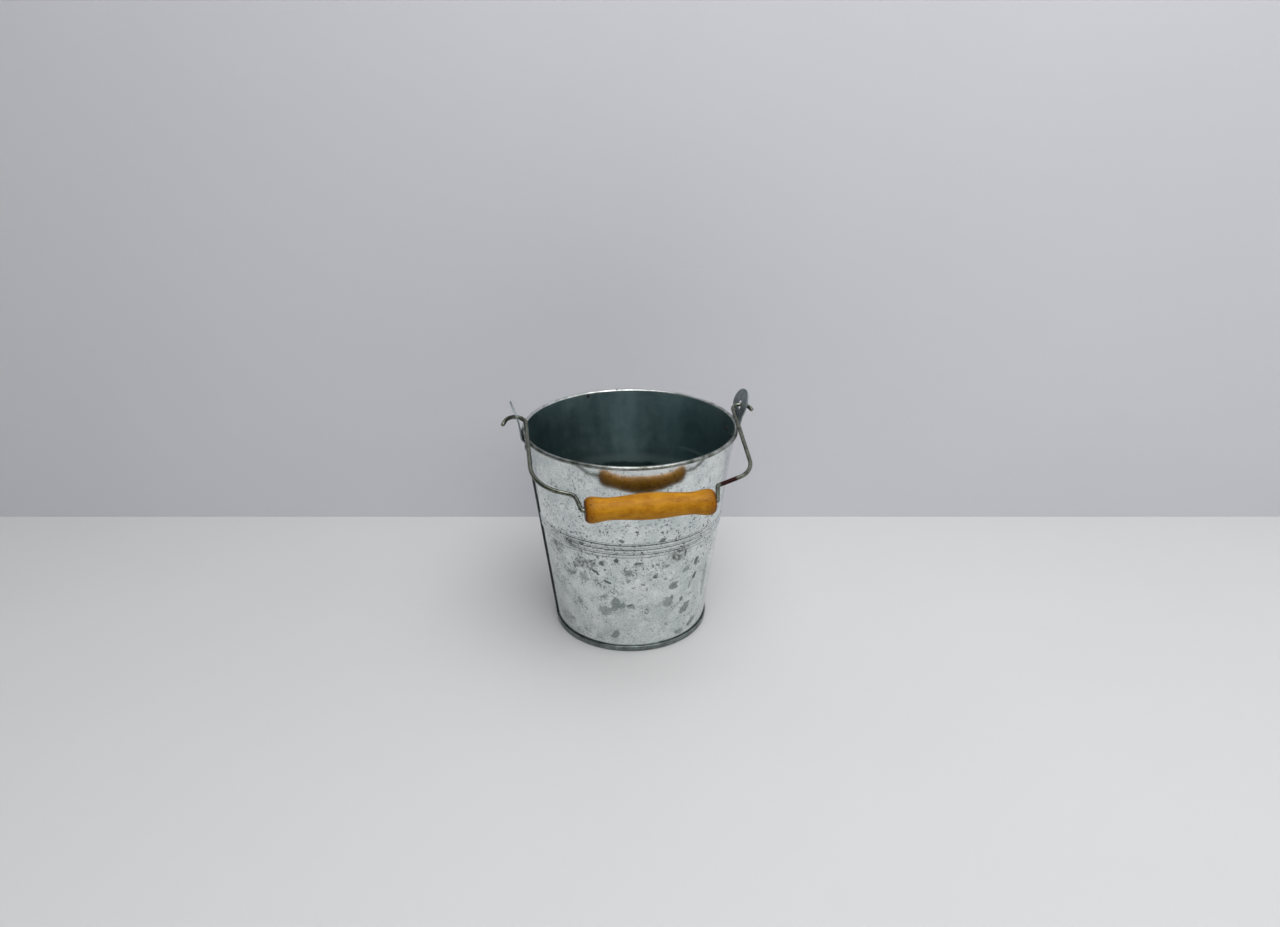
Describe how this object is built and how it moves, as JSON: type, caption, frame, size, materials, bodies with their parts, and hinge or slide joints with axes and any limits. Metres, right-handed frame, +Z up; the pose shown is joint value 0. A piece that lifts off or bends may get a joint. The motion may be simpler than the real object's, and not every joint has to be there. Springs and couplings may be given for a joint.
{
  "type": "florist bucket",
  "caption": "Small tapered galvanised bucket with swaged beads, curled rim, riveted sheet ears, a swinging shouldered wire bail and a turned wooden grip.",
  "frame": {"origin": "centre of the flat underside of the base, on the bucket's axis", "axes": "+Z up along the bucket's axis, X along the bail's hinge with the side seam at -X, bail hanging on the -Y side"},
  "size_m": [0.152, 0.1462, 0.1481],
  "materials": {
    "galvanised_sheet": "hot-dip galvanised, spangled, satin",
    "dark_zinc_sheet": "dull weathered zinc",
    "steel_wire": "drawn wire, dull zinc with a little rust",
    "varnished_wood": "turned, honey-coloured varnish"
  },
  "bodies": {
    "bucket": {"body_wall": "galvanised_sheet", "rim_wire": "steel_wire", "base_pan": "dark_zinc_sheet", "ear_left": "galvanised_sheet", "ear_right": "galvanised_sheet", "ear_rivet_left_front": "dark_zinc_sheet", "ear_rivet_left_rear": "dark_zinc_sheet", "ear_rivet_right_front": "dark_zinc_sheet", "ear_rivet_right_rear": "dark_zinc_sheet"},
    "bail": {"bail_wire": "steel_wire"},
    "grip": {"grip": "varnished_wood"}
  },
  "joints": [
    {"name": "bail_hinge", "type": "hinge", "parent": "bucket", "child": "bail", "pos_m": [0, 0, 0.1385], "axis": [-1, 0, 0], "range_deg": [0, 221.3]},
    {"name": "grip_spin", "type": "hinge", "parent": "bail", "child": "grip", "pos_m": [0, -0.07372, 0.11067], "axis": [1, 0, 0], "continuous": true}
  ]
}
